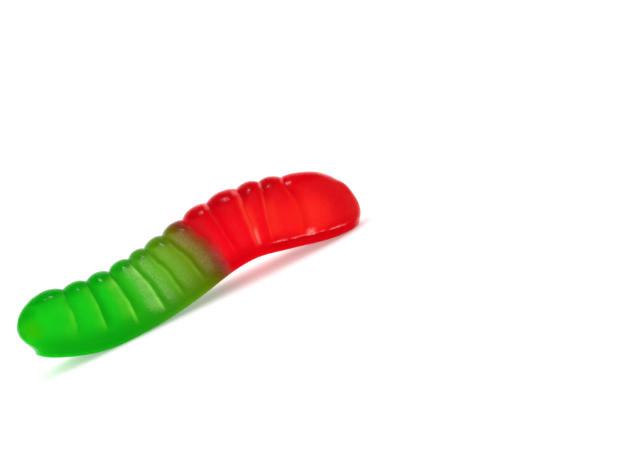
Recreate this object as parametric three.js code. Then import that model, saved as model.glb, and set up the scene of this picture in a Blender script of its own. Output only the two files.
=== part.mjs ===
// A two-colour gummy worm, one piece of moulded gelatine jelly, lying at rest.
// Millimetres, +Z up. The worm runs along X from its tail (-X) to its head (+X), and its flat
// moulded base is underneath. The origin is under the middle of the worm, on the surface it lies on.
// The worm is laid out straight first, as it leaves its mould, and is then bent along its spine.

import * as THREE from "three";
import { mergeVertices } from "three/addons/utils/BufferGeometryUtils.js";

// ---- Driving dimensions, in mm ----

// The spine is the line that the worm is bent along, in the vertical plane through its middle:
// x from the tail tip, and height above the surface. The tail lifts, the belly lies flat,
// the middle arches over and the head comes down again.
const SPINE_KNOTS = [
  [0, 8.3],
  [5.5, 6.2],
  [12, 4.62],
  [20, 4.58],
  [27.5, 5.6],
  [35, 7.2],
  [40.5, 7.45],
  [46, 6.4],
  [52, 4.8],
  [58.9, 3.5],
];

const BODY_HEIGHT = 11.6; // flat base to ridge crest, in the middle of the worm
const BODY_WIDTH = 13.2; // across the widest part of the sides, in the middle of the worm
const TAIL_SCALE = 0.85; // the section at the tail, as a share of the middle's
const HEAD_SCALE = 0.9; // the section at the head, likewise
const TAPER_LENGTH = 14; // the section swells to its full size over this length from each tip

// The section is a loaf: a flat base with a rounded edge, sides that lean out to their widest
// low down and then lean in, and a domed top. The outline runs from the middle of the base to the
// top of the dome. base, lip, widest, wall and shoulder are shares of the half width or of the
// height. step tells how far the lip stands out as a step of its own, from 0, where it runs on
// into the flank, to 1. lean tells how far the flank leans out before it turns up.
const SIDE_OUTLINE = {
  base: 0.74,
  lip: 0.88,
  step: 0,
  lean: 0.6,
  widest: 0.22,
  wall: 0.385,
  shoulder: 0.68,
};
const TAIL_OUTLINE = {
  base: 0.53,
  lip: 0.61,
  step: 1,
  lean: 0.4,
  widest: 0.4,
  wall: 0.6,
  shoulder: 0.62,
};
const HEAD_OUTLINE = {
  base: 0.76,
  lip: 0.9,
  step: 0,
  lean: 0.6,
  widest: 0.25,
  wall: 0.46,
  shoulder: 0.6,
};
const LIP_HEIGHT = 0.055;
const FLANK_RISE = 0.45; // how high the flank has risen when it has leaned out by its share
const FLANK_BULGE = 0.55; // how full the turn up to the widest part is
const SPINE_HEIGHT = 0.42; // height of the spine in the section

// The rounded ends: length of each from where it starts to its tip.
const TAIL_ROUND = 6.1;
const HEAD_ROUND = 8;

// Ridges: rings over the top and sides, set apart by grooves. Each groove has its own place
// on the back, counted along the spine from the tail tip, its place on the sides, which is
// mostly a little nearer to the head, and its own depth at the top of the dome.
const GROOVES = [
  { at: 8.5, side: 9.3, depth: 0.65 },
  { at: 13.5, side: 13.9, depth: 0.7 },
  { at: 18.2, side: 18.7, depth: 0.85 },
  { at: 22.4, side: 23.1, depth: 0.65 },
  { at: 25.8, side: 26.7, depth: 0.6 },
  { at: 29.7, side: 30.7, depth: 0.65 },
  { at: 33.8, side: 34.7, depth: 0.75 },
  { at: 37.7, side: 37.6, depth: 0.65 },
  { at: 41.9, side: 41.8, depth: 0.65 },
  { at: 45.1, side: 44.7, depth: 0.55 },
  { at: 48.5, side: 49.9, depth: 0.5 },
];
const LEAN_LOW = 0.5; // at this share of the height the grooves reach their place on the sides
const RIDGE_ROUNDNESS = 0.7; // 1 is a sine arch between grooves; less has sharper grooves
const GROOVE_REACH = 2.6; // how far the outer grooves slope out onto the smooth tail and head
const SIDE_DEPTH = 0.42; // a groove's depth on the sides, as a share of its depth at the top
const GROOVE_FADE = 0.3; // grooves fade in over this share of the height above the widest part

// A shallow round dent high on each end.
const DENT_DEPTH = 0.14;
const DENT_RADIUS = 3;
const DENT_PLACE = 0.42; // from the tip, as a share of the rounded end's length
const DENT_HEIGHT = 0.8; // share of the section's height

// The jelly settles by this much, which leaves small flat spots where it touches the surface.
const SETTLED = 0.1;

// ---- Mesh fineness ----
const STEPS_PER_RIDGE = 8;
const STEPS_ROUND_END = 18;
const SMOOTH_STEP = 1.0; // spacing of sections along the smooth tail and head
const BASE_STEPS = 3;
const LIP_STEPS = 3;
const FLANK_STEPS = 5;
const DOME_STEPS = 10;

const { clamp, lerp, smoothstep } = THREE.MathUtils;
const spot = (reach, height) => new THREE.Vector2(reach, height);

// ---- Spine ----

const spine = new THREE.CatmullRomCurve3(
  SPINE_KNOTS.map(([x, z]) => new THREE.Vector3(x, 0, z)),
  false,
  "centripetal",
);
const spineLength = spine.getLength();
const headStart = spineLength - HEAD_ROUND;

// Bends a point of the straight worm: x is its distance from the tail tip along the spine,
// y is sideways and z its height above the base.
function bend(point) {
  const share = clamp(point.x / spineLength, 0, 1);
  const along = spine.getTangentAt(share);
  const up = new THREE.Vector3(-along.z, 0, along.x);
  const bent = spine.getPointAt(share);
  bent.addScaledVector(up, point.z - SPINE_HEIGHT * BODY_HEIGHT * sectionScale(point.x));
  bent.y = point.y;
  return bent;
}

// ---- Section ----

// One outline from the middle of the base, over the lip and the flank, to the top of the dome.
function halfOutline({ base, lip, step, lean, widest, wall, shoulder }) {
  const leanReach = (1 - lip) * lean;
  const leanRise = (widest - LIP_HEIGHT) * FLANK_RISE;
  const undercut = ((1 - step) * LIP_HEIGHT * leanReach) / leanRise;
  const lipEdge = new THREE.QuadraticBezierCurve(
    spot(base, 0),
    spot(lip - undercut, 0),
    spot(lip, LIP_HEIGHT),
  );
  const flank = new THREE.CubicBezierCurve(
    spot(lip, LIP_HEIGHT),
    spot(lip + leanReach, LIP_HEIGHT + leanRise),
    spot(1, lerp(LIP_HEIGHT, widest, FLANK_BULGE)),
    spot(1, widest),
  );
  const dome = new THREE.CubicBezierCurve(
    spot(1, widest),
    spot(1, lerp(widest, 1, wall)),
    spot(shoulder, 1),
    spot(0, 1),
  );
  return [
    ...new THREE.LineCurve(spot(0, 0), spot(base, 0)).getPoints(BASE_STEPS),
    ...lipEdge.getPoints(LIP_STEPS).slice(1),
    ...flank.getPoints(FLANK_STEPS).slice(1),
    ...dome.getPoints(DOME_STEPS).slice(1),
  ];
}

const sideOutline = halfOutline(SIDE_OUTLINE);
const tailOutline = halfOutline(TAIL_OUTLINE);
const headOutline = halfOutline(HEAD_OUTLINE);

// Size of the section at a distance from the tail tip, as a share of the middle's.
function sectionScale(distance) {
  const fromTail = smoothstep(distance, 0, TAPER_LENGTH);
  const fromHead = smoothstep(spineLength - distance, 0, TAPER_LENGTH);
  return Math.min(lerp(TAIL_SCALE, 1, fromTail), lerp(HEAD_SCALE, 1, fromHead));
}

// ---- Ridges ----

// Depth of the surface below the ridge crests, at the top of the dome.
function grooveDepth(distance) {
  const next = GROOVES.findIndex((groove) => groove.at > distance);
  if (next > 0) {
    const from = GROOVES[next - 1];
    const to = GROOVES[next];
    const share = (distance - from.at) / (to.at - from.at);
    return lerp(from.depth, to.depth, share) * (1 - Math.sin(share * Math.PI) ** RIDGE_ROUNDNESS);
  }
  const outer = next === 0 ? GROOVES[0] : GROOVES.at(-1);
  const away = clamp(Math.abs(distance - outer.at) / GROOVE_REACH, 0, 1);
  return outer.depth * (1 - Math.sin((away * Math.PI) / 2) ** RIDGE_ROUNDNESS);
}

// Share of that depth at a height in the section: none below the widest part, all at the top.
function grooveShare(height) {
  const lowest = SIDE_OUTLINE.widest;
  const onSide = SIDE_DEPTH * smoothstep(height, lowest, lowest + GROOVE_FADE);
  return onSide + (1 - SIDE_DEPTH) * smoothstep(height, lowest, 1) ** 2;
}

// How much nearer to the head than on the back the grooves lie on the sides.
function grooveLean(distance) {
  const tips = [{ at: 0, side: 0 }, ...GROOVES, { at: spineLength, side: spineLength }];
  const next = Math.max(tips.findIndex((tip) => tip.at >= distance), 1);
  const from = tips[next - 1];
  const to = tips[next];
  const share = (distance - from.at) / (to.at - from.at);
  return lerp(from.side - from.at, to.side - to.at, share);
}

// ---- The straight worm ----

// One half section, standing at a distance along the spine and turned about the upright there.
// A turn of 0 faces +Y and a turn of 180 degrees faces -Y. In between it faces outwards over
// a rounded end, whose length is endRound (negative at the tail, where the tip is at a lower x).
function halfSection(distance, turn, endRound) {
  const endOutline = endRound < 0 ? tailOutline : headOutline;
  const endward = Math.sin(turn);
  return sideOutline.map((side, index) => {
    const share = side.clone().lerp(endOutline[index], endward ** 2);
    const x = distance + endRound * endward * share.x;
    const scale = sectionScale(x);
    const y = Math.cos(turn) * share.x * (BODY_WIDTH / 2) * scale;
    const z = share.y * BODY_HEIGHT * scale;
    const rise = z - SPINE_HEIGHT * BODY_HEIGHT * scale;
    const sunk = (grooveDepth(x) * grooveShare(share.y)) / Math.hypot(y, rise);
    const lean = grooveLean(x) * (1 - smoothstep(share.y, LEAN_LOW, 1));
    return new THREE.Vector3(x + lean, y * (1 - sunk), z - rise * sunk);
  });
}

// Presses the dent into one end, inwards and down.
function pressDent(points, tip, inwards) {
  const centre = new THREE.Vector3(
    tip + inwards * DENT_PLACE * HEAD_ROUND,
    0,
    DENT_HEIGHT * BODY_HEIGHT * sectionScale(tip),
  );
  const push = new THREE.Vector3(inwards, 0, -1).setLength(DENT_DEPTH);
  for (const point of points) {
    const away = Math.min(point.distanceTo(centre) / DENT_RADIUS, 1);
    point.addScaledVector(push, (1 - away ** 2) ** 2);
  }
}

// Distances at which the ridged body has sections, from one rounded end to the other.
function bodyDistances() {
  const stops = [TAIL_ROUND, ...GROOVES.map((groove) => groove.at), headStart];
  const distances = [TAIL_ROUND];
  for (let stop = 1; stop < stops.length; stop += 1) {
    const from = stops[stop - 1];
    const to = stops[stop];
    const ridge = stop > 1 && stop < stops.length - 1;
    const steps = ridge ? STEPS_PER_RIDGE : Math.ceil((to - from) / SMOOTH_STEP);
    for (let step = 1; step <= steps; step += 1) {
      distances.push(lerp(from, to, step / steps));
    }
  }
  return distances;
}

// The half sections in order round the worm: along the +Y side to the head, round the head,
// back along the -Y side and round the tail.
function halfSections() {
  const body = bodyDistances();
  const turns = Array.from(
    { length: STEPS_ROUND_END - 1 },
    (_, step) => ((step + 1) / STEPS_ROUND_END) * Math.PI,
  );
  return [
    ...body.map((distance) => halfSection(distance, 0, 0)),
    ...turns.map((turn) => halfSection(headStart, turn, HEAD_ROUND)),
    ...body.toReversed().map((distance) => halfSection(distance, Math.PI, 0)),
    ...turns.toReversed().map((turn) => halfSection(TAIL_ROUND, turn, -TAIL_ROUND)),
  ];
}

// ---- The surface ----

// Moves the bent worm over the origin and sets it down on the surface.
function standOnSurface(points) {
  const box = new THREE.Box3().setFromPoints(points);
  const middle = (box.min.x + box.max.x) / 2;
  for (const point of points) {
    point.x -= middle;
    point.z = Math.max(point.z - box.min.z - SETTLED, 0);
  }
}

// Joins the half sections, each to the next, into one closed skin. They all start and end on the
// worm's middle line, where points that coincide become one and cells without an area drop out.
function wormGeometry() {
  const columns = halfSections();
  const points = columns.flat();
  pressDent(points, 0, 1);
  pressDent(points, spineLength, -1);
  const bent = points.map(bend);
  standOnSurface(bent);

  const rows = sideOutline.length;
  const cells = columns.flatMap((column, index) => {
    const here = index * rows;
    const next = ((index + 1) % columns.length) * rows;
    return column.slice(1).flatMap((_, row) => [
      [here + row, here + row + 1, next + row + 1],
      [here + row, next + row + 1, next + row],
    ]);
  });

  const skin = mergeVertices(new THREE.BufferGeometry().setFromPoints(bent).setIndex(cells.flat()));
  const corners = Array.from(skin.index.array);
  const triangles = cells
    .map((_, cell) => corners.slice(cell * 3, cell * 3 + 3))
    .filter((triangle) => new Set(triangle).size === 3);
  skin.setIndex(triangles.flat());
  skin.computeVertexNormals();
  return skin;
}

const jelly = new THREE.MeshStandardMaterial({ color: 0x1fb81f, roughness: 0.35, metalness: 0 });
const worm = new THREE.Mesh(wormGeometry(), jelly);
worm.name = "gummy_worm";

const model = new THREE.Group();
model.add(worm);

export default model;
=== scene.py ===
# %% [markdown]
# # A two-colour gummy worm
#
# A gummy worm is gelatine jelly that was poured hot into a tray of starch. Green jelly went into
# one end of the hollow and red jelly into the other, so the two run into each other in the
# middle. The side that was open to the air is the flat base, and the rest shows the form of the
# hollow: a domed back with ridges across it and two smooth, rounded ends.
#
# This lesson builds the worm in four steps: the frame, the shape, the jelly and the studio.
# Everything is in metres, and the worm runs along X with its green tail at -X.

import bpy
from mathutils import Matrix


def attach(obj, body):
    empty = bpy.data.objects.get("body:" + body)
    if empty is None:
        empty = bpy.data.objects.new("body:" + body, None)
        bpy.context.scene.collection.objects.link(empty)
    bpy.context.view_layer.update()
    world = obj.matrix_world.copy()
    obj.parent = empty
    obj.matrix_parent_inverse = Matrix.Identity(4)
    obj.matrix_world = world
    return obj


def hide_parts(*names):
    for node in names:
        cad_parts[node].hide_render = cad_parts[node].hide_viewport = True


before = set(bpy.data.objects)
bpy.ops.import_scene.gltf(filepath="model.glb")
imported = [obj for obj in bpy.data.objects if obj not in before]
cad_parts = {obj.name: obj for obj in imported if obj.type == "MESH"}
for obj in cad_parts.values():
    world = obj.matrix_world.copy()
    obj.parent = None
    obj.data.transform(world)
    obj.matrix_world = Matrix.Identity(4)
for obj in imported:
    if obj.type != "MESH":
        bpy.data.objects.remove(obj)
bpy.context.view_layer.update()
print("nodes of the packed model:", sorted(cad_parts))

# %% [markdown]
# ## Tools for building node trees
#
# The shape is made by Geometry Nodes and the finish by shader nodes. Both are trees of small
# boxes joined by wires, and a script can get lost in them. Two helpers keep it short. `add` makes
# a node and fills in its inputs. A `Field` is the output of a node that can stand in a sum: when
# it is written as `reach * width + 1`, each sign adds one Math node to the tree.
#
# Most fields change over a short stretch and stay level outside it, so two kinds of numbers turn
# up all through the lesson. A ramp is (low, high, start, end): it goes smoothly from start to end
# while the field goes from low to high. A band is (rise, full, fade, gone): it is 1 from full to
# fade, and 0 before rise and after gone.

# %% Node helpers
import math

import bpy
from mathutils import Matrix, Vector


def plug(tree, value, socket):
    """Wires a field or an output to a socket, or types a plain value into it."""
    if isinstance(value, Field):
        value = value.socket
    if isinstance(value, bpy.types.NodeSocket):
        tree.links.new(value, socket)
    else:
        socket.default_value = value


def fill(tree, node, inputs):
    for name, value in inputs.items():
        plug(tree, value, node.inputs[name])


def add(tree, kind, inputs=None, **settings):
    """Adds a node to a tree, with its settings and what goes into its inputs."""
    node = tree.nodes.new(kind)
    for name, value in settings.items():
        setattr(node, name, value)
    fill(tree, node, inputs or {})
    return node


def maths(tree, operation, *values):
    node = add(tree, "ShaderNodeMath", dict(enumerate(values)), operation=operation)
    return Field(tree, node.outputs[0])


def count_nodes(tree, name):
    print("nodes in", name, "so far:", len(tree.nodes))


print("the lesson runs in Blender", bpy.app.version_string)


# %% Fields
class Field:
    """An output of a node that can be used in sums."""

    def __init__(self, tree, socket):
        self.tree = tree
        self.socket = socket

    def __add__(self, other):
        return maths(self.tree, "ADD", self, other)

    def __radd__(self, other):
        return maths(self.tree, "ADD", other, self)

    def __sub__(self, other):
        return maths(self.tree, "SUBTRACT", self, other)

    def __rsub__(self, other):
        return maths(self.tree, "SUBTRACT", other, self)

    def __mul__(self, other):
        return maths(self.tree, "MULTIPLY", self, other)

    def __rmul__(self, other):
        return maths(self.tree, "MULTIPLY", other, self)

    def __truediv__(self, other):
        return maths(self.tree, "DIVIDE", self, other)

    def __pow__(self, other):
        return maths(self.tree, "POWER", self, other)

    def call(self, operation, *others):
        return maths(self.tree, operation, self, *others)

    def mapped(self, how, low, high, start, end):
        ends = {"Value": self, "From Min": low, "From Max": high, "To Min": start, "To Max": end}
        node = add(self.tree, "ShaderNodeMapRange", ends, interpolation_type=how)
        return Field(self.tree, node.outputs[0])

    def ramp(self, low, high, start=0.0, end=1.0):
        """Goes smoothly from start to end while this field goes from low to high."""
        return self.mapped("SMOOTHSTEP", low, high, start, end)

    def line(self, low, high, start, end):
        """The same along a straight line."""
        return self.mapped("LINEAR", low, high, start, end)

    def ramps(self, *numbers):
        """The product of several ramps of this field."""
        return math.prod((self.ramp(*ramp) for ramp in numbers[1:]), start=self.ramp(*numbers[0]))

    def band(self, rise, full, fade, gone):
        """1 from full to fade, and 0 before rise and after gone."""
        return self.ramps((rise, full), (fade, gone, 1, 0))


def parts_of(tree, vector):
    """The x, y and z of a vector, as fields."""
    node = add(tree, "ShaderNodeSeparateXYZ", {0: vector})
    return [Field(tree, socket) for socket in node.outputs]


def vector_of(tree, x, y, z):
    return Field(tree, add(tree, "ShaderNodeCombineXYZ", {0: x, 1: y, 2: z}).outputs[0])


print("what a field can do:", ", ".join(name for name in vars(Field) if name[0] != "_"))

# %% [markdown]
# ## The spine
#
# The worm was straight in its hollow. Here it lies bent: the tail lifts, the belly is flat on the
# surface, the middle arches over and the head comes down again. One curve through the middle of
# the body holds that bend. It could be drawn by hand, but a curve that is worked out from a few
# knots is easy to change. The handles below make a Bezier curve run through its knots as a
# centripetal Catmull-Rom curve does, which has no loops and no overshoot between them.

# %% The spine
MM = 0.001
SPINE_KNOTS_MM = [
    (0, 8.3),
    (5.5, 6.2),
    (12, 4.62),
    (20, 4.58),
    (27.5, 5.6),
    (35, 7.2),
    (40.5, 7.45),
    (46, 6.4),
    (52, 4.8),
    (58.9, 3.5),
]
SPINE_FINENESS = 24  # straight steps from one knot to the next


def slope_at(before, here, after):
    """Direction of the curve at a knot, for one unit of knot time."""
    gap_before = math.sqrt((here - before).length)
    gap_after = math.sqrt((after - here).length)
    return (
        (here - before) / gap_before
        - (after - before) / (gap_before + gap_after)
        + (after - here) / gap_after
    )


def spine_curve():
    knots = [Vector((x * MM, 0, z * MM)) for x, z in SPINE_KNOTS_MM]
    ahead = 2 * knots[0] - knots[1]
    behind = 2 * knots[-1] - knots[-2]
    line = [ahead, *knots, behind]
    curve = bpy.data.curves.new("spine", "CURVE")
    curve.dimensions = "3D"
    spline = curve.splines.new("BEZIER")
    spline.bezier_points.add(len(knots) - 1)
    spline.resolution_u = SPINE_FINENESS
    for point, before, here, after in zip(spline.bezier_points, line, line[1:], line[2:]):
        slope = slope_at(before, here, after)
        point.handle_left_type = point.handle_right_type = "FREE"
        point.co = here
        point.handle_left = here - slope * math.sqrt((here - before).length) / 3
        point.handle_right = here + slope * math.sqrt((after - here).length) / 3
    return curve


spine = bpy.data.objects.new("spine", spine_curve())
bpy.context.scene.collection.objects.link(spine)
spine_length = spine.data.splines[0].calc_length()
print("length of the spine:", round(spine_length / MM, 2), "mm")

# %% [markdown]
# ## The grooves
#
# Eleven grooves run over the back and down the sides and set the ridges apart. They aren't
# evenly spaced: the ridges near the tail are wide and those near the head are narrow. Nor do they
# run straight down: on the sides most of them lie a little nearer to the head than on the back.
#
# They could be sunk one by one into a finished mesh. A small mesh that holds them is easier to
# change: it has one loose vertex for each groove at its distance from the tail tip. Each vertex
# also carries how deep its groove is, and how far the groove reaches towards the tail and towards
# the head, which is half way to its neighbour.

# %% The grooves
GROOVES_MM = [  # place on the back, place on the sides, depth
    (8.5, 9.3, 0.65),
    (13.5, 13.9, 0.7),
    (18.2, 18.7, 0.85),
    (22.4, 23.1, 0.65),
    (25.8, 26.7, 0.6),
    (29.7, 30.7, 0.65),
    (33.8, 34.7, 0.75),
    (37.7, 37.6, 0.65),
    (41.9, 41.8, 0.65),
    (45.1, 44.7, 0.55),
    (48.5, 49.9, 0.5),
]
OUTER_REACH_MM = 2.6  # the outer grooves slope out this far onto the smooth tail and head


def grooves_mesh():
    places = [place for place, _, _ in GROOVES_MM]
    halves = [(after - before) / 2 for before, after in zip(places, places[1:])]
    facts = {
        "depth": [depth for _, _, depth in GROOVES_MM],
        "tailward": [OUTER_REACH_MM, *halves],
        "headward": [*halves, OUTER_REACH_MM],
    }
    mesh = bpy.data.meshes.new("grooves")
    mesh.from_pydata([(place * MM, 0, 0) for place in places], [], [])
    for name, values in facts.items():
        layer = mesh.attributes.new(name, "FLOAT", "POINT")
        layer.data.foreach_set("value", [value * MM for value in values])
    return mesh


grooves = bpy.data.objects.new("grooves", grooves_mesh())
bpy.context.scene.collection.objects.link(grooves)
print("grooves:", len(GROOVES_MM))

# %% [markdown]
# ## Half of a cut through the worm
#
# A cut across the worm is a loaf: a flat base, a foot that turns up from it, sides that lean out
# to their widest low down and then lean in, and a domed top. Along the sides and the head the foot
# is rounded. Under the tail it is a small step, where the jelly stood up against the rim of its
# hollow.
#
# Half of the cut is enough, because the worm's two sides are alike. The half outline is four
# curves joined end to end, from the middle of the base to the top of the dome. The same group of
# nodes draws it for the side, the tail and the head, each with its own numbers. Reach is a share
# of the half width, height a share of the full height.

# %% The numbers of the half outline
OUTLINE_PARTS = (
    "Base",  # reach of the flat base
    "Lip",  # reach at the top of the foot
    "Step",  # 1 for a foot that is a step, 0 for one that goes on into the side
    "Lean",  # how far the lower side has leaned out, as a share of what is left to its widest
    "Widest",  # height of the widest part
    "Wall",  # how far up the side stays upright, as a share of what is above its widest
    "Shoulder",  # how far out the top of the dome stays level
)
SIDE_WIDEST = 0.22
SIDE_OUTLINE = dict(zip(OUTLINE_PARTS, (0.74, 0.88, 0, 0.6, SIDE_WIDEST, 0.385, 0.68)))
TAIL_OUTLINE = dict(zip(OUTLINE_PARTS, (0.53, 0.61, 1, 0.4, 0.4, 0.6, 0.62)))
HEAD_OUTLINE = dict(zip(OUTLINE_PARTS, (0.76, 0.9, 0, 0.6, 0.25, 0.5, 0.66)))
FOOT_HEIGHT = 0.055
FLANK_RISE = 0.45  # how high the flank has risen when it has leaned out by its share
FLANK_BULGE = 0.55  # how full the turn up to the widest part is
BASE_STEPS, FOOT_STEPS, FLANK_STEPS, DOME_STEPS = 12, 5, 20, 52
# A curve of this many steps has one point more.
OUTLINE_POINTS = sum(n + 1 for n in (BASE_STEPS, FOOT_STEPS, FLANK_STEPS, DOME_STEPS))
print("points in a half outline:", OUTLINE_POINTS)


# %% Node groups with named inputs
def new_group(name, kind, sockets, result):
    """An empty node group with named inputs, one output and its group nodes."""
    tree = bpy.data.node_groups.new(name, kind)
    for label, socket_type in sockets.items():
        tree.interface.new_socket(name=label, in_out="INPUT", socket_type=socket_type)
    tree.interface.new_socket(name=result[0], in_out="OUTPUT", socket_type=result[1])
    entry = tree.nodes.new("NodeGroupInput")
    fields = {label: Field(tree, entry.outputs[label]) for label in sockets}
    return tree, fields, tree.nodes.new("NodeGroupOutput")


print("node groups so far:", len(bpy.data.node_groups))


# %% The outline group
def outline_group():
    sockets = {label: "NodeSocketFloat" for label in OUTLINE_PARTS}
    tree, share, out = new_group(
        "Half outline", "GeometryNodeTree", sockets, ("Points", "NodeSocketGeometry")
    )

    def spot(reach, height):
        return vector_of(tree, reach, 0, height)

    def bow(steps, start, middle, end):
        ends = {"Resolution": steps, "Start": start, "Middle": middle, "End": end}
        return add(tree, "GeometryNodeCurveQuadraticBezier", ends).outputs[0]

    def sweep(steps, start, leave, arrive, end):
        ends = {
            "Resolution": steps,
            "Start": start,
            "Start Handle": leave,
            "End Handle": arrive,
            "End": end,
        }
        return add(tree, "GeometryNodeCurvePrimitiveBezierSegment", ends).outputs[0]

    base, lip, widest = share["Base"], share["Lip"], share["Widest"]
    lean_reach = (1 - lip) * share["Lean"]
    lean_rise = (widest - FOOT_HEIGHT) * FLANK_RISE
    undercut = (1 - share["Step"]) * FOOT_HEIGHT * lean_reach / lean_rise
    curves = [
        bow(BASE_STEPS, spot(0, 0), spot(base * 0.5, 0), spot(base, 0)),
        bow(FOOT_STEPS, spot(base, 0), spot(lip - undercut, 0), spot(lip, FOOT_HEIGHT)),
        sweep(
            FLANK_STEPS,
            spot(lip, FOOT_HEIGHT),
            spot(lip + lean_reach, lean_rise + FOOT_HEIGHT),
            spot(1, FOOT_HEIGHT + (widest - FOOT_HEIGHT) * FLANK_BULGE),
            spot(1, widest),
        ),
        sweep(
            DOME_STEPS,
            spot(1, widest),
            spot(1, widest + (1 - widest) * share["Wall"]),
            spot(share["Shoulder"], 1),
            spot(0, 1),
        ),
    ]
    join = tree.nodes.new("GeometryNodeJoinGeometry")
    for curve in reversed(curves):
        tree.links.new(curve, join.inputs[0])
    points = add(tree, "GeometryNodeCurveToPoints", {0: join.outputs[0]}, mode="EVALUATED")
    plug(tree, points.outputs[0], out.inputs[0])
    return tree


half_outline = outline_group()
print("nodes in the outline group:", len(half_outline.nodes))

# %% [markdown]
# ## The depth of the grooves
#
# Each point of the straight worm looks for its nearest groove and sinks by an amount that falls
# off to nothing at the groove's reach. What is left between two grooves is a rounded ridge. On
# the sides the grooves are shallower, and below the widest part there are none. A displacement
# picture could do the same, but a rule has no grain and follows its numbers. The group also says
# how far a point has come from one groove (0) to the next (1), for the finish.

# %% The numbers of a groove
RIDGE_ROUNDNESS = 0.7  # 1 is a sine arch between grooves; less has sharper grooves
SIDE_DEPTH = 0.42  # a groove's depth on the sides, as a share of its depth at the top
GROOVE_FADE = 0.3  # grooves fade in over this share of the height above the widest part


def sample(tree, points, value, index, data_type="FLOAT_VECTOR"):
    """The value of one point out of many, by its number."""
    ends = {"Geometry": points, "Value": value, "Index": index}
    return Field(tree, add(tree, "GeometryNodeSampleIndex", ends, data_type=data_type).outputs[0])


def position_in(tree):
    return Field(tree, tree.nodes.new("GeometryNodeInputPosition").outputs[0])


print("depth of a groove on the sides, as a share of the top's:", SIDE_DEPTH)


# %% The groove group
def groove_group():
    sockets = {
        "Grooves": "NodeSocketObject",
        "Distance": "NodeSocketFloat",
        "Height": "NodeSocketFloat",
    }
    tree, given, out = new_group(
        "Groove", "GeometryNodeTree", sockets, ("Depth", "NodeSocketFloat")
    )
    tree.interface.new_socket(name="Ridge", in_out="OUTPUT", socket_type="NodeSocketFloat")
    points = add(tree, "GeometryNodeObjectInfo", {0: given["Grooves"]}).outputs["Geometry"]
    ends = {"Geometry": points, "Sample Position": vector_of(tree, given["Distance"], 0, 0)}
    nearest = add(tree, "GeometryNodeSampleNearest", ends).outputs[0]

    def fact(name):
        named = add(tree, "GeometryNodeInputNamedAttribute", {0: name}, data_type="FLOAT")
        return sample(tree, points, named.outputs[0], nearest, "FLOAT")

    place, _, _ = parts_of(tree, sample(tree, points, position_in(tree), nearest))
    past = given["Distance"] - place
    on_head_side = past.call("GREATER_THAN", 0)
    reach = fact("tailward") + (fact("headward") - fact("tailward")) * on_head_side
    away = (past.call("ABSOLUTE") / reach).call("MINIMUM", 1)
    profile = 1 - (away * (math.pi / 2)).call("SINE") ** RIDGE_ROUNDNESS
    on_side = SIDE_DEPTH * given["Height"].ramp(SIDE_WIDEST, SIDE_WIDEST + GROOVE_FADE)
    on_top = (1 - SIDE_DEPTH) * given["Height"].ramp(SIDE_WIDEST, 1) ** 2
    plug(tree, fact("depth") * profile * (on_side + on_top), out.inputs["Depth"])
    half_way = away * 0.5
    ridge = half_way + (1 - half_way * 2) * past.call("LESS_THAN", 0)
    plug(tree, ridge, out.inputs["Ridge"])
    return tree


groove = groove_group()
print("nodes in the groove group:", len(groove.nodes))

# %% [markdown]
# ## The dents
#
# High on each end the jelly has sunk a little while it set, which leaves a shallow round dent. A
# brush could press it in by hand. The group pushes all points near a centre instead, most at the
# centre and none at the radius, and it is used once on the tail and once on the head.


# %% The dent group
def moved(tree, mesh, **how):
    """The mesh with its points at a new Position or moved by an Offset."""
    return add(tree, "GeometryNodeSetPosition", {"Geometry": mesh, **how}).outputs[0]


def scaled(tree, vector, amount):
    ends = {0: vector, "Scale": amount}
    return add(tree, "ShaderNodeVectorMath", ends, operation="SCALE").outputs[0]


def dent_group():
    sockets = {
        "Worm": "NodeSocketGeometry",
        "Centre": "NodeSocketVector",
        "Push": "NodeSocketVector",
        "Radius": "NodeSocketFloat",
    }
    tree, given, out = new_group(
        "Dent", "GeometryNodeTree", sockets, ("Worm", "NodeSocketGeometry")
    )
    ends = {0: position_in(tree), 1: given["Centre"]}
    gap = add(tree, "ShaderNodeVectorMath", ends, operation="DISTANCE").outputs["Value"]
    away = (Field(tree, gap) / given["Radius"]).call("MINIMUM", 1)
    push = scaled(tree, given["Push"], (1 - away**2) ** 2)
    plug(tree, moved(tree, given["Worm"], Offset=push), out.inputs[0])
    return tree


dent = dent_group()
print("nodes in the dent group:", len(dent.nodes))

# %% [markdown]
# ## The worm's own tree
#
# Worms from one tray are all alike, and those from another are longer, thicker or blunter. Sizes
# typed into the nodes would be hard to find again. As inputs of one tree they stand together
# under their names, and each can be changed on its own. The spine, the mesh of the grooves and
# the jelly come in the same way.

# %% The inputs of the worm's tree
HEAD_ROUND = 8 * MM
DENT_SHARE = 0.42  # place of the dents, as a share of the head's rounded length
SIZES = {
    "Length": spine_length,
    "Body height": 11.6 * MM,
    "Body width": 13.2 * MM,
    "Tail scale": 0.85,
    "Head scale": 0.9,
    "Taper length": 14 * MM,
    "Tail round": 6.1 * MM,
    "Head round": HEAD_ROUND,
    "Spine height": 0.42,
    "Dent depth": 0.14 * MM,
    "Dent place": DENT_SHARE * HEAD_ROUND,
    "Dent radius": 3 * MM,
    "Settled": 0.1 * MM,
    "Unevenness": 0.05 * MM,
    "Groove wander": 0.25 * MM,
}
THINGS = {
    "Spine": "NodeSocketObject",
    "Grooves": "NodeSocketObject",
    "Jelly": "NodeSocketMaterial",
}

shape, size, shape_out = new_group(
    "Gummy worm",
    "GeometryNodeTree",
    {label: "NodeSocketFloat" for label in SIZES} | THINGS,
    ("Worm", "NodeSocketGeometry"),
)
print("inputs of the worm's tree:", ", ".join(size))

# %% [markdown]
# ## The walk round the worm
#
# The body is one skin. It starts as a flat grid, where each column becomes one half outline and
# the columns walk once round the worm: up one side to the head, round the head, back along the
# other side and round the tail. At the ends the column turns about an upright line, which
# sweeps the half outline into a rounded end. A loft between a few drawn cuts would also do, but
# this way every ridge follows from its number.

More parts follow.
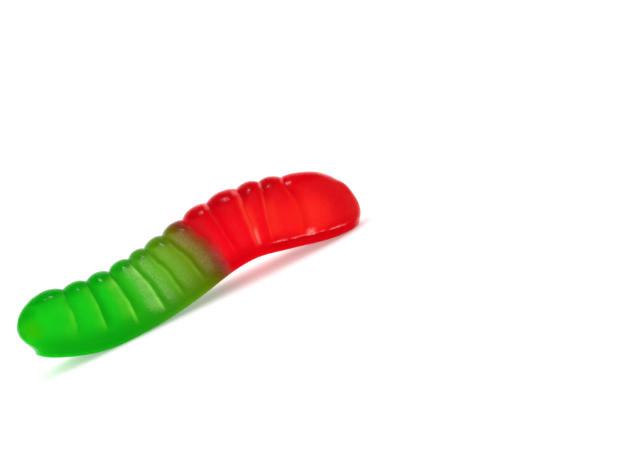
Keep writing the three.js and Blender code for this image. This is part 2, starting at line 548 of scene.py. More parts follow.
# %% The grid and its walk
BODY_COLUMNS = 290  # half outlines along each side
END_COLUMNS = 64  # half outlines round each end

columns = 2 * (BODY_COLUMNS + END_COLUMNS)
rows = OUTLINE_POINTS - 1
counts = {"Size X": columns, "Size Y": rows, "Vertices X": columns + 1, "Vertices Y": rows + 1}
grid = add(shape, "GeometryNodeMeshGrid", counts).outputs[0]
grid_x, grid_y, _ = parts_of(shape, position_in(shape))
column = grid_x + columns / 2
row = (grid_y + rows / 2).call("ROUND")

head_done = BODY_COLUMNS + END_COLUMNS
back_done = head_done + BODY_COLUMNS
head_start = size["Length"] - size["Head round"]
going = column.line(0, BODY_COLUMNS, size["Tail round"], head_start)
coming = column.line(head_done, back_done, head_start, size["Tail round"])
stand = going + coming - head_start
head_turn = column.line(BODY_COLUMNS, head_done, 0, math.pi)
tail_turn = column.line(back_done, columns, 0, math.pi)
turn = head_turn + tail_turn
endward = turn.call("SINE")  # 1 where the column points out of the head, -1 out of the tail
at_head = endward.call("GREATER_THAN", 0)
print("columns round the worm:", columns, "with", rows + 1, "points each")


# %% The half outline of each column
def place_group(tree, group, inputs):
    """Puts a node group into a tree as one node."""
    node = tree.nodes.new("GeometryNodeGroup")
    node.node_tree = group
    fill(tree, node, inputs)
    return node


def outline_point(numbers):
    """Reach and height of a column's point on one of the outlines."""
    points = place_group(shape, half_outline, numbers).outputs[0]
    reach, _, height = parts_of(shape, sample(shape, points, position_in(shape), row))
    return reach, height


side, tail, head = map(outline_point, (SIDE_OUTLINE, TAIL_OUTLINE, HEAD_OUTLINE))
end_share = endward**2
reach, level = [
    of_side + (of_tail + (of_head - of_tail) * at_head - of_side) * end_share
    for of_side, of_tail, of_head in zip(side, tail, head)
]
count_nodes(shape, "the worm's tree")


# %% The straight worm
def section_scale(place):
    """How large the section is at a place, as a share of the middle's."""
    length, taper = size["Length"], size["Taper length"]
    from_tail = place.ramp(0, taper, size["Tail scale"], 1)
    to_head = place.ramp(length - taper, length, 1, size["Head scale"])
    return from_tail.call("MINIMUM", to_head)


round_length = size["Tail round"] + (size["Head round"] - size["Tail round"]) * at_head
distance = stand + round_length * endward * reach
section_height = size["Body height"] * section_scale(distance)
middle = size["Spine height"] * section_height
rise = level * section_height - middle
sideways = turn.call("COSINE") * reach * size["Body width"] * 0.5 * section_scale(distance)
count_nodes(shape, "the worm's tree")

# %% [markdown]
# ## Grooves that lean and wander, and a fold
#
# A groove sinks the skin towards the spine. Between the top of the dome and half way down, it
# also moves over to its place on the sides. Real grooves aren't ruled lines, so a soft noise
# pushes them to and fro by a quarter of a millimetre. Low on both sides of the head runs a
# shallow, wavy fold, where the jelly stood against the edge of its tray. It is a hollow line
# pressed into the skin, with a bell curve for its cut.

# %% The lean of the grooves
LEAN_HEIGHTS = (0.5, 1.0)  # between these the grooves move over to their place on the sides
LARGEST_LEAN_MM = 2.0


def noise(place, lump_mm, detail=2.0):
    """Noise with lumps of this size, from 0 to 1."""
    ends = {"Vector": place, "Scale": 1 / (lump_mm * MM), "Detail": detail}
    return Field(place.tree, add(place.tree, "ShaderNodeTexNoise", ends).outputs[0])


def groove_lean(share):
    """How far a groove on the side is nearer to the head than on the back, in metres."""
    node = add(share.tree, "ShaderNodeFloatCurve", {"Value": share})
    curve = node.mapping.curves[0]
    length = spine_length / MM
    spots = [
        (place / length, (on_side - place) / LARGEST_LEAN_MM) for place, on_side, _ in GROOVES_MM
    ]
    ends = [(0, 0), *spots, (1, 0)]
    node.mapping.clip_min_y = -1
    while len(curve.points) < len(ends):
        curve.points.new(0.5, 0)
    for point, spot in zip(curve.points, ends):
        point.location = spot
        point.handle_type = "VECTOR"
    node.mapping.update()
    return Field(share.tree, node.outputs[0]) * (LARGEST_LEAN_MM * MM)


lean = groove_lean(distance / size["Length"]) * level.ramp(*LEAN_HEIGHTS, 1, 0)
count_nodes(shape, "the worm's tree")

# %% The fold on the head
FOLD_HEIGHT = 0.132
FOLD_WIDTH = 0.022
FOLD_DEPTH = 0.2 * MM
FOLD_BAND_MM = (43.5, 46, 53, 57)
FOLD_WAVES = [(2.1, 0.006), (4.7, 0.004)]  # turn in radians for each mm, height


def head_fold(along_mm):
    long_wave, short_wave = [
        (along_mm * turn_rate).call("SINE") * wave_height for turn_rate, wave_height in FOLD_WAVES
    ]
    off = (level - FOLD_HEIGHT - (long_wave + short_wave)) / FOLD_WIDTH
    hollow = (off * off * -1).call("EXPONENT")
    return hollow * FOLD_DEPTH * along_mm.band(*FOLD_BAND_MM)


fold = head_fold(distance / MM)
count_nodes(shape, "the worm's tree")

# %% The straight worm with its grooves and fold
WANDER_LUMP_MM = 3

cut_ends = {"Grooves": size["Grooves"], "Distance": distance, "Height": level}
cut = place_group(shape, groove, cut_ends)
from_spine = (sideways * sideways + rise * rise).call("SQRT")
sunk = (1 - Field(shape, cut.outputs["Depth"]) / from_spine) * (1 - fold / from_spine)
smooth_place = vector_of(shape, distance, sideways, rise)
wander = (noise(smooth_place, WANDER_LUMP_MM, 1.0) - 0.5) * 2 * size["Groove wander"]
straight = vector_of(shape, distance + (lean + wander), sideways * sunk, middle + rise * sunk)
count_nodes(shape, "the worm's tree")

# %% [markdown]
# ## What the skin remembers
#
# The colours of the jelly follow the worm, also where it is bent. So each point stores how far
# along the worm it is, how high in the cut, and how far it has come from one groove to the next.
# Colours drawn by plain coordinates would be simpler, but they would cut across the bend.


# %% The stored numbers
def keep(tree, mesh, name, value):
    """Stores a field on the points of the mesh under a name."""
    ends = {"Geometry": mesh, "Name": name, "Value": value}
    kind = "GeometryNodeStoreNamedAttribute"
    return add(tree, kind, ends, data_type="FLOAT", domain="POINT").outputs[0]


memory = {"along": distance, "height": level, "ridge": Field(shape, cut.outputs["Ridge"])}
skin = grid
for name, value in memory.items():
    skin = keep(shape, skin, name, value)
skin = moved(shape, skin, Position=straight)
print("numbers on each point:", ", ".join(memory))

# %% The dents in the ends
DENT_HEIGHT = 0.8  # share of the cut's height

push = size["Dent depth"] * math.sqrt(0.5)
dents = {
    "Tail scale": (size["Dent place"], push),
    "Head scale": (size["Length"] - size["Dent place"], push * -1),
}
for end_scale, (place, inwards) in dents.items():
    numbers = {
        "Worm": skin,
        "Centre": vector_of(shape, place, 0, size["Body height"] * size[end_scale] * DENT_HEIGHT),
        "Push": vector_of(shape, inwards, 0, push * -1),
        "Radius": size["Dent radius"],
    }
    skin = place_group(shape, dent, numbers).outputs[0]
print("dents:", len(dents))

# %% [markdown]
# ## The bend and the rest
#
# To bend the straight worm, each point keeps its height over the spine, which now leans with the
# curve. A Curve modifier would do much the same, but it can't be set by a tree's own inputs. The
# seams of the grid are merged, and a very low noise keeps the worm from looking turned on a
# lathe. Last it is set down on the surface, where it settles by a tenth of a millimetre and gets
# the small flat spot that it rests on.

# %% The bend
MERGE_GAP = 0.002 * MM

bend = add(shape, "GeometryNodeObjectInfo", {0: size["Spine"]}).outputs["Geometry"]
x, y, z = parts_of(shape, position_in(shape))
on_spine = add(shape, "GeometryNodeSampleCurve", {"Curves": bend, "Length": x}, mode="LENGTH")
spine_x, _, spine_z = parts_of(shape, on_spine.outputs["Position"])
lean_x, _, lean_z = parts_of(shape, on_spine.outputs["Tangent"])
over = z - size["Spine height"] * size["Body height"] * section_scale(x)
bent = vector_of(shape, spine_x - lean_z * over, y, spine_z + lean_x * over)
skin = moved(shape, skin, Position=bent)
merge_ends = {"Geometry": skin, "Distance": MERGE_GAP}
skin = add(shape, "GeometryNodeMergeByDistance", merge_ends).outputs[0]
skin = add(shape, "GeometryNodeFlipFaces", {"Mesh": skin}).outputs[0]
count_nodes(shape, "the worm's tree")

# %% Unevenness, and setting down
SWELL_LUMP_MM = 5

normal = shape.nodes.new("GeometryNodeInputNormal").outputs[0]
swell = (noise(position_in(shape), SWELL_LUMP_MM, 1.0) - 0.5) * 2 * size["Unevenness"]
skin = moved(shape, skin, Offset=scaled(shape, normal, swell))

box = add(shape, "GeometryNodeBoundBox", {0: skin})
low_x, _, low_z = parts_of(shape, box.outputs["Min"])
high_x, _, _ = parts_of(shape, box.outputs["Max"])
x, y, z = parts_of(shape, position_in(shape))
settled = (z - low_z - size["Settled"]).call("MAXIMUM", 0)
placed = vector_of(shape, x - (low_x + high_x) * 0.5, y, settled)
skin = moved(shape, skin, Position=placed)

_, _, facing = parts_of(shape, shape.nodes.new("GeometryNodeInputNormal").outputs[0])
skin = keep(shape, skin, "facing_up", facing)
skin = add(shape, "GeometryNodeSetShadeSmooth", {"Geometry": skin}).outputs[0]
skin = add(shape, "GeometryNodeRealizeInstances", {0: skin}).outputs[0]
dressed = {"Geometry": skin, "Material": size["Jelly"]}
plug(shape, add(shape, "GeometryNodeSetMaterial", dressed).outputs[0], shape_out.inputs[0])
print("nodes in the worm's tree:", len(shape.nodes))

# %% [markdown]
# ## The jelly
#
# Jelly lets light in and scatters it, so its colour comes from inside. Subsurface scattering does
# that: light enters the surface, wanders through the body and leaves somewhere else. Clear glass
# with a coloured volume was the other choice, but real gummy jelly is cloudy, and scattering also
# keeps the fine drawing of the surface colour sharp.
#
# The finish reads back what the skin remembers: `along` in mm from the tail tip, `height` from 0
# at the base to 1 at the back, `ridge` from 0 at one groove to 1 at the next, and `facing_up`.
# Three noises make it uneven: soft clouds in the jelly, patches, and the fine grain that the
# starch leaves on the skin.

# %% What a spot of the skin knows
CLOUD_LUMP_MM, CLOUD_DETAIL = 2.5, 3.0
PATCH_LUMP_MM = 2.2
PATCH_CONTRAST = (0.3, 0.7, 0.35, 1)
GRAIN_LUMP_MM = 0.24


def on_surface(tree, name):
    """A number that the worm's tree stored on its points."""
    node = add(tree, "ShaderNodeAttribute", attribute_type="GEOMETRY", attribute_name=name)
    return Field(tree, node.outputs["Fac"])


jelly = bpy.data.materials.new("jelly")
jelly.use_nodes = True
finish = jelly.node_tree
surface = Field(finish, finish.nodes.new("ShaderNodeTexCoord").outputs["Object"])
along = on_surface(finish, "along") / MM
height, ridge, facing_up = [
    on_surface(finish, name) for name in ("height", "ridge", "facing_up")
]
cloud = noise(surface, CLOUD_LUMP_MM, CLOUD_DETAIL) - 0.5
patches = noise(surface, PATCH_LUMP_MM).ramp(*PATCH_CONTRAST)
grain = noise(surface, GRAIN_LUMP_MM)
count_nodes(finish, "the jelly")

# %% [markdown]
# ## Green, olive, red
#
# Two colours are needed at each place along the worm: the heart colour, seen half way up the
# side where light passes straight through, and the deep colour, seen near the top and the base
# where the light has come a long way. They run from green over olive and brown to red. Two
# colour ramps hold them, with a stop at each new colour. The clouds push the
# place in the ramps to and fro, most where the two jellies ran into each other.

# %% The colours along the worm
PALETTE = [  # distance from the tail tip in mm, heart colour, deep colour
    (5, (24, 202, 26), (2, 152, 8)),
    (15, (26, 200, 26), (3, 150, 8)),
    (20, (54, 188, 22), (16, 148, 6)),
    (23.5, (84, 180, 28), (48, 136, 4)),
    (26, (104, 178, 20), (68, 128, 1)),
    (29.5, (112, 152, 10), (84, 116, 1)),
    (31.6, (126, 112, 18), (98, 84, 4)),
    (33, (146, 70, 28), (118, 44, 16)),
    (34.1, (210, 24, 30), (190, 4, 16)),
    (35.9, (240, 2, 26), (208, 0, 12)),
    (51, (246, 10, 26), (212, 0, 14)),
    (55.5, (226, 0, 16), (208, 0, 12)),
    (59, (210, 0, 7), (202, 0, 10)),
]
RAMP_LENGTH_MM = 60
FRINGE_BAND_MM = (31, 33.5, 35, 37)
CLOUD_SHIFT_MM = 0.8  # the clouds' push everywhere; it is 1 mm more in the fringe


def linear(colour):
    """A colour of 8 bits a channel, as the shader wants it."""
    shares = [value / 255 for value in colour]
    return [
        share / 12.92 if share < 0.04045 else ((share + 0.055) / 1.055) ** 2.4
        for share in shares
    ] + [1.0]


def ramp_along(place, stops):
    """A colour that changes along the worm: pairs of distance in mm and colour."""
    node = add(place.tree, "ShaderNodeValToRGB", {0: place / RAMP_LENGTH_MM})
    elements = node.color_ramp.elements
    while len(elements) < len(stops):
        elements.new(1.0)
    for element, (at, colour) in zip(elements, stops):
        element.position = at / RAMP_LENGTH_MM
        element.color = colour
    return node.outputs[0]


def colour_ramp(place, stops):
    return ramp_along(place, [(at, linear(colour)) for at, colour in stops])


def blend(share, first, second):
    """The first colour where the share is 0 and the second where it is 1."""
    ends = {0: share, 6: first, 7: second}
    return add(share.tree, "ShaderNodeMix", ends, data_type="RGBA").outputs[2]


mixed = along + cloud * (along.band(*FRINGE_BAND_MM) + CLOUD_SHIFT_MM)
heart = colour_ramp(mixed, [(at, colour) for at, colour, _ in PALETTE])
# The deep colours are painted shade: darker copies of the heart colours, which the masks below
# blend in.
deep_shade = colour_ramp(mixed, [(at, colour) for at, _, colour in PALETTE])
print("stops in the two ramps:", len(PALETTE))

# %% [markdown]
# ## Painted shade where the jelly is deep
#
# The crown of each ridge, the foot of the sides and the tip of the tail get painted shade, in
# the deep colour. Ambient occlusion or a real volume could find such places, but they are slow,
# and masks made of height and facing are easy to steer. On the red half the painted shade of the
# crown comes further down the sides. Light from the table shines into the very edge of the foot,
# so there a little of the painted shade is taken away again, as painted light.

# %% Crown, foot and tip
CROWN_FROM = (1, 8, 0.55, 0.72)  # the height where the crown begins, from the tail tip on
CROWN_LOWER_ON_RED = (33, 36, 0, 0.28)
CROWN_BY_FACING = (0.66, 0.94, 0, 0.65)
CROWN_BY_HEIGHT = 0.75
CLOUD_ON_HEIGHT, CLOUD_ON_FACING = 0.06, 0.12
FOOT_FROM = (32, 36, 0.5, 0.34)  # the height where the foot begins, on green and on red
FOOT_FULL = 0.1
FOOT_SHARE = 0.75
LIT_EDGE = (0.12, 0.02, 0, 0.35)
TIP_SLANT_MM = (0.5, 0.8, 0, 1.5)  # the tip reaches further back high up
TIP = (3, 0, 0, 0.9)

crown_from = along.ramp(*CROWN_FROM) - along.ramp(*CROWN_LOWER_ON_RED)
high = (height + cloud * CLOUD_ON_HEIGHT).ramp(crown_from, 1)
crown = (facing_up + cloud * CLOUD_ON_FACING).ramp(*CROWN_BY_FACING) + high * CROWN_BY_HEIGHT
foot = height.ramp(along.ramp(*FOOT_FROM), FOOT_FULL, 0, FOOT_SHARE) - height.ramp(*LIT_EDGE)
tip = (along - height.ramp(*TIP_SLANT_MM)).ramp(*TIP)
# Painted shade: the crown, foot and tip blend the heart colour to the deep shade colour.
painted_shade = crown.call("MAXIMUM", foot).call("MAXIMUM", tip).call("MINIMUM", 1)
body = blend(painted_shade, heart, deep_shade)
count_nodes(finish, "the jelly")

# %% [markdown]
# ## Painted glows at the ends
#
# The thick round ends gather light like a lens. In the tail it shows as a small yellowish spot
# near the tip, and in the head as a wide orange glow in the middle of the side. Lamps inside the
# mesh would make the whole end shine. The glow is painted light instead: an oval of colour that
# stays where it is put. It is the distance from a centre, measured with the height stretched.

# %% The glows
GLOWS = [  # centre in mm along the worm and in height, stretch of the height, fade, colour
    (2.2, 0.45, 10, (0.3, 2.3, 0.9, 0), (48, 182, 2)),
    (50.2, 0.44, 14, (0.5, 5.5, 0.85, 0), (253, 40, 28)),
]

for centre, centre_height, stretch, fade, colour in GLOWS:
    away = ((along - centre) ** 2 + ((height - centre_height) * stretch) ** 2).call("SQRT")
    body = blend(away.ramp(*fade), body, linear(colour))
print("glows:", len(GLOWS))

# %% [markdown]
# ## Painted light and shade on each ridge
#
# A ridge acts as a weak lens too: from one groove to the next the jelly grows lighter, and just
# past a groove it is shaded again. The studio's light does some of this by itself, but a model
# without the real depth of the jelly shows it too weakly, so the finish adds it as painted light
# and painted shade. The light grows from the tail to the third ridge and is weak after it. It
# comes back on the eighth, and is weaker again on the last two.

# %% Light on the ridges
FLANK_FROM = (18, 22, 0.24, 0.12)  # the height where this drawing begins
FLANK_FADE = 0.22
FLANK_BELOW_CROWN = (0.4, 0.95, 1, 0)
LIT_GREEN_MM = [(8, 19, 0.4, 1), (22.9, 23.7, 1, 0.25), (31, 34, 1, 0)]
LIT_RED_MM = [(38, 38.4, 0, 0.9), (49.6, 50, 1, 0), (41.9, 42.3, 1, 0.4)]
LIT_FROM = (34, 36, 0.45, 0.72)  # where on a ridge the light begins, on green and on red
LIT_FULL = 0.97
LIT_SHARE = 0.85
LIT_COLOURS = [
    (12, (84, 210, 34)),
    (18, (124, 212, 60)),
    (22, (148, 210, 96)),
    (28, (130, 168, 56)),
    (33, (150, 110, 60)),
    (35, (252, 58, 44)),
]

flank_from = along.ramp(*FLANK_FROM)
flank = height.ramp(flank_from, flank_from + FLANK_FADE) * crown.ramp(*FLANK_BELOW_CROWN)
toward_groove = ridge.ramp(along.ramp(*LIT_FROM), LIT_FULL)
# Painted light: each ridge grows lighter towards its next groove.
lit = toward_groove * flank * patches * (along.ramps(*LIT_GREEN_MM) + along.ramps(*LIT_RED_MM))
body = blend(lit * LIT_SHARE, body, colour_ramp(mixed, LIT_COLOURS))
count_nodes(finish, "the jelly")

# %% Shade just past each groove
SHADED_MM = [(9, 12, 0.4, 1), (31, 36, 1, 0.25), (50, 52, 1, 0), (41.5, 42, 1, 2)]
SHADE_BEGINS = (0, 0.03)
SHADE_FADES, SHADE_GONE = 0.05, 0.42  # places on a ridge
SHORTER_MM, SHORTER_BY = (22.9, 23.7, 33, 35), 0.12
SHADE_SHARE = 0.65

shade_gone = along.band(*SHORTER_MM) * -SHORTER_BY + SHADE_GONE
# Painted shade: the deep shade colour just past each groove.
shade = ridge.ramp(*SHADE_BEGINS) * ridge.ramp(SHADE_FADES, shade_gone, 1, 0)
shade = shade * flank * along.ramps(*SHADED_MM)
body = blend(shade * SHADE_SHARE, body, deep_shade)
count_nodes(finish, "the jelly")

# %% [markdown]
# ## Painted shade and glints on the red crowns
#
# The crowns of the red ridges are painted in the darkest shade of all, most of all on their tail
# side. At the head end of each crown a pale pink glint of light is painted along the crest. Both
# could be painted with a brush. But the mask of the crowns is there already, and a ramp across the
# ridge splits it the same way on all of them.

# %% Painted shade on the crowns, painted glints at their ends
RED_BAND_MM = (34, 35, 47.5, 49)
DARK_BY_CROWN = (0.3, 1.1)
DARK_BY_RIDGE = (0.85, 0.2, 0.35, 1)
CROWN_SHADE_SHARE, CROWN_SHADE_RED = 0.55, (156, 0, 14)
CREST_GLINT_HEIGHTS = (0.9, 0.96)
CREST_GLINT_ON_RIDGE = (0.78, 0.9)
CREST_GLINT_GRAIN = (0.3, 0.6, 0.5, 1)
CREST_GLINT_SHARE, CREST_GLINT_PINK = 0.65, (250, 120, 130)

on_red = along.band(*RED_BAND_MM)
# Painted shade: the red crowns darkened, most of all on their tail side.
crown_shade = crown.ramp(*DARK_BY_CROWN) * ridge.ramp(*DARK_BY_RIDGE) * on_red
body = blend(crown_shade * CROWN_SHADE_SHARE, body, linear(CROWN_SHADE_RED))
# Painted glints: a pale pink line of light at the head end of each red crown, broken by the grain.
crest_glint = height.ramp(*CREST_GLINT_HEIGHTS) * ridge.ramp(*CREST_GLINT_ON_RIDGE) * on_red
body = blend(crest_glint * grain.ramp(*CREST_GLINT_GRAIN) * CREST_GLINT_SHARE, body, linear(CREST_GLINT_PINK))
count_nodes(finish, "the jelly")

# %% [markdown]
# ## Bright lines along the grooves
#
# The edge of a groove catches the light from behind and carries it down the side as a thin
# bright line, strongest on the green ridges. It lies just before the groove, and from the third
# groove on also just behind it. On two of the red grooves the light spreads to a broad streak.
# A lamp could draw these lines on its own, but only from one side, so the lines and the streaks
# are painted light.

# %% The bright lines
LINE_STRENGTH = [  # distance from the tail tip in mm, strength of the line at a groove
    (9, 0.45),
    (17, 0.75),
    (24, 0.75),
    (28, 0.4),
    (30.6, 0.25),
    (32.5, 0),
    (35, 0),
    (37, 0.2),
    (40, 0.2),
    (41, 0.6),
    (43, 0.6),
    (44, 0.35),
    (46.5, 0.35),
    (47.5, 0),
]
LINE_COLOURS = [
    (17, (110, 225, 50)),
    (22, (150, 235, 90)),
    (26, (130, 200, 60)),
    (30, (150, 180, 50)),
    (35, (255, 70, 60)),
]
BEFORE_RISES, BEFORE_FADES = (0.84, 0.93), (0.97, 1.0)  # places on a ridge
LEFT_IN_GROOVE = (17, 20, 0.1, 1)  # how much of the line is left in the groove itself
BEHIND_FADES = (0.06, 0.01)
BEHIND_MM = [(17, 20), (36, 38, 1, 0.8)]
LINE_TOP_FROM, LINE_TOP_GONE = (15, 20, 0.6, 0.85), (15, 20, 0.85, 0.99)
LINE_FOOT_FROM, LINE_FOOT_FULL = (9, 20, 0.34, 0.12), (9, 20, 0.56, 0.34)
LINE_PATCHES = (0.3, 0.8, 0.5, 1)


def strength_ramp(place, stops):
    """A number that changes along the worm: pairs of distance in mm and strength."""
    greys = [(at, (strength, strength, strength, 1.0)) for at, strength in stops]
    return Field(place.tree, ramp_along(place, greys))


before = ridge.ramp(*BEFORE_RISES) * ridge.ramp(*BEFORE_FADES, 1, along.ramp(*LEFT_IN_GROOVE))
behind = ridge.ramp(*BEHIND_FADES) * along.ramps(*BEHIND_MM)
below_top = height.ramp(along.ramp(*LINE_TOP_FROM), along.ramp(*LINE_TOP_GONE), 1, 0)
above_foot = height.ramp(along.ramp(*LINE_FOOT_FROM), along.ramp(*LINE_FOOT_FULL))
bright = before.call("MAXIMUM", behind) * below_top * above_foot * patches.ramp(*LINE_PATCHES)
bright = bright * strength_ramp(along, LINE_STRENGTH)
body = blend(bright, body, colour_ramp(mixed, LINE_COLOURS))
count_nodes(finish, "the jelly")

# %% The broad streaks on the red
STREAK_STRENGTH = [(40, 0), (41, 0.6), (43, 0.6), (44.2, 0.4), (46, 0.5), (48, 0)]
STREAK_BEFORE, STREAK_BEHIND = (0.8, 0.92), (0.45, 0.1)
STREAK_HEIGHTS = (0.2, 0.32, 0.6, 0.85)
STREAK_RED = (255, 60, 40)

# Painted light: broad light streaks on two of the red grooves.
streak = (ridge.ramp(*STREAK_BEFORE) + ridge.ramp(*STREAK_BEHIND)) * height.band(*STREAK_HEIGHTS)
body = blend(streak * strength_ramp(along, STREAK_STRENGTH), body, linear(STREAK_RED))
count_nodes(finish, "the jelly")

# %% [markdown]
# ## Painted sheen, bloom and the seam
#
# The starch of the tray stays in the grain of the skin and dulls it. On the middle ridges the
# light on that dull grain is painted in as a grey sheen, and where the two jellies met the starch
# gathers in a fuzzy reddish band low on the side. A second coat of material could lie over the
# jelly, but a blend of the colour through the grain looks the same.

# %% The painted sheen and the bloom
SHEEN_BLOOM_STRENGTH = [
    (18, 0),
    (21, 1),
    (25.5, 1),
    (26.2, 0.6),
    (29.4, 0.6),
    (30, 0.95),
    (32, 0.95),
    (34.5, 0.1),
]
LATE_RIDGES = (22.9, 23.7)  # from the fourth groove on, the bloom lies just past the groove
SHEEN_BLOOM_EARLY = (0.3, 0.6, 0.05, 1)
SHEEN_BLOOM_LATE = [(0.1, 0.35), (0.5, 0.85, 1, 0.05)]
SHEEN_BLOOM_GRAIN = (0.3, 0.65)
SHEEN_COLOURS = [(20, (160, 214, 130)), (33, (180, 140, 110)), (35, (245, 130, 125))]
SHEEN_SHARE = 0.42

early = ridge.ramp(*SHEEN_BLOOM_EARLY)
on_ridge = early + (ridge.ramps(*SHEEN_BLOOM_LATE) - early) * along.ramp(*LATE_RIDGES)
# Painted sheen: grey light on the grain of the middle ridges, blended into the colour; the same
# mask makes the skin rougher there.
sheen_and_bloom = on_ridge * flank * strength_ramp(along, SHEEN_BLOOM_STRENGTH) * grain.ramp(*SHEEN_BLOOM_GRAIN)
body = blend(sheen_and_bloom * SHEEN_SHARE, body, colour_ramp(mixed, SHEEN_COLOURS))
count_nodes(finish, "the jelly")

# %% The seam between green and red
SEAM_BAND_MM = (32, 33.5, 33.9, 35.4)
SEAM_LOW = (0.6, 0.38)
SEAM_GRAIN = (0.3, 0.6)
SEAM_SHARE, SEAM_COLOUR = 0.45, (165, 92, 84)

seam = along.band(*SEAM_BAND_MM) * height.ramp(*SEAM_LOW) * grain.ramp(*SEAM_GRAIN)
body = blend(seam * SEAM_SHARE, body, linear(SEAM_COLOUR))
count_nodes(finish, "the jelly")

# %% [markdown]
# ## Painted shade and glints on the head
#
# Under the fold on the head the jelly is painted in deep shade. The crest over the fold catches
# the light, and its glints are painted pink: a narrow broken line with one broad patch. The lower
# end of the ninth groove gets the same painted glint. Marks on edges like this are often found
# from the curvature of the mesh. Here the fold is so low that its place is the better guide.

# %% Under and over the fold
HEAD_BAND_MM = (43.5, 46, 54, 57)
UNDER_FOLD, UNDER_SHARE = (0.165, 0.135), 0.8
CREST_FROM = (0.137, 0.148)
NARROW_TO = (0.158, 0.182, 1, 0)
NARROW_LUMP_MM, NARROW_BREAKS = 1.6, (0.4, 0.6)
BROAD_BAND_MM, BROAD_TO = (48.6, 49.8, 50.2, 50.9), (0.2, 0.27, 1, 0)
FOLD_GLINT_GRAIN = (0.35, 0.6, 0.1, 1)
NINTH_GLINT_MM, NINTH_GLINT_HEIGHTS = [(41.9, 42.1), (42.4, 42.9, 0.7, 0)], (0.16, 0.24, 0.34, 0.46)
NINTH_GLINT_SHARE = 0.6
GLINT_SHARE, GLINT_PINK = 0.9, (255, 160, 156)

on_head = along.band(*HEAD_BAND_MM)
# Painted shade: under the fold the colour goes to the deep shade colour.
body = blend(on_head * height.ramp(*UNDER_FOLD) * UNDER_SHARE, body, deep_shade)
# Painted glints: pink light on the crest over the fold and at the lower end of the ninth groove.
narrow = noise(surface, NARROW_LUMP_MM).ramp(*NARROW_BREAKS) * height.ramp(*NARROW_TO)
broad = along.band(*BROAD_BAND_MM) * height.ramp(*BROAD_TO)
glint_mask = height.ramp(*CREST_FROM) * on_head * narrow.call("MAXIMUM", broad)
ninth_glint = along.ramps(*NINTH_GLINT_MM) * height.band(*NINTH_GLINT_HEIGHTS) * NINTH_GLINT_SHARE
glint_mask = (glint_mask * grain.ramp(*FOLD_GLINT_GRAIN)).call("MAXIMUM", ninth_glint)
body = blend(glint_mask * GLINT_SHARE, body, linear(GLINT_PINK))
count_nodes(finish, "the jelly")

# %% [markdown]
# ## Skin and gloss
#
# The skin has shallow puckers and a fine grain, both too small for the mesh, so they are bump.
# On the red crowns the grain is rougher, which breaks their glints up. Its gloss is weak, because
# the starch dulls it, except at the rim, where light that only grazes the skin is thrown back.
# A full gloss would do both at once. Here a low specular level holds the gloss down, and a coat
# that grows towards the rim brings it back there.

# %% The skin of the jelly
PUCKER_LUMP_MM, PUCKER_DEPTH = 0.8, 0.05 * MM
GRAIN_DEPTH = 0.012 * MM
ROUGHER_CROWN = (0.4, 0.9, 0, 0.7)
RIM_COAT = (0.55, 0.95, 0, 0.9)
ROUGHNESS, DUST_ROUGHNESS = 0.15, 0.3


def bump(depth, distance, **under):
    """The skin raised by a field; under is a Normal that it lies on."""
    ends = {"Height": depth, "Distance": distance, "Strength": 1.0, **under}
    return add(depth.tree, "ShaderNodeBump", ends).outputs[0]


puckers = bump(noise(surface, PUCKER_LUMP_MM), PUCKER_DEPTH)
rougher = crown.ramp(*ROUGHER_CROWN) * on_red + 1
facing_away = add(finish, "ShaderNodeLayerWeight", {"Blend": 0.5}).outputs["Facing"]
jelly_sockets = {
    "Base Color": body,
    "Roughness": sheen_and_bloom * DUST_ROUGHNESS + ROUGHNESS,
    "Normal": bump(grain * rougher, GRAIN_DEPTH, Normal=puckers),
    "IOR": 1.2,
    "Specular IOR Level": 0.07,
    "Coat Weight": Field(finish, facing_away).ramp(*RIM_COAT),
    "Coat Roughness": 0.15,
    "Subsurface Weight": 1.0,
    "Subsurface Radius": (1.0, 1.0, 1.0),
    "Subsurface Scale": 2 * MM,
}
fill(finish, finish.nodes["Principled BSDF"], jelly_sockets)
print("nodes in the jelly:", len(finish.nodes))

# %% [markdown]
# ## The worm
#
# The tree runs once, as a modifier on an empty mesh, and its result is kept as a plain mesh. A
# live modifier would do for a picture, but the plain mesh can be measured, exported and tied to
# the packed model, whose place it takes.

# %% The worm
seed = bpy.data.objects.new("worm_seed", bpy.data.meshes.new("worm_seed"))
bpy.context.scene.collection.objects.link(seed)
modifier = seed.modifiers.new("Gummy worm", "NODES")
modifier.node_group = shape
values = SIZES | {"Spine": spine, "Grooves": grooves, "Jelly": jelly}
for item in shape.interface.items_tree:
    if item.in_out == "INPUT":
        modifier[item.identifier] = values[item.name]
evaluated = seed.evaluated_get(bpy.context.evaluated_depsgraph_get())
worm_mesh = bpy.data.meshes.new_from_object(evaluated)
worm_mesh.name = "jelly_worm"
for helper in (seed, spine, grooves):
    bpy.data.objects.remove(helper)

worm = bpy.data.objects.new("jelly_worm", worm_mesh)
bpy.context.scene.collection.objects.link(worm)
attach(worm, "root")
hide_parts("gummy_worm")
print("faces of the worm:", len(worm.data.polygons))

# %% [markdown]
# ## The studio
#
# Sweets like this are shot in a tent of white cloth on a light table: soft light comes from all
# round and from below, and least of it from the side of the camera. Jelly needs that. Light from
# below and behind goes through it and brings out its colour, and a bright front would only lay
# a grey gloss over it. The table is a white sheet that also glows a little.

# %% The light table
TABLE_SIZE = 6.0
TABLE_WHITE = 0.85
TABLE_GLOW = 0.3

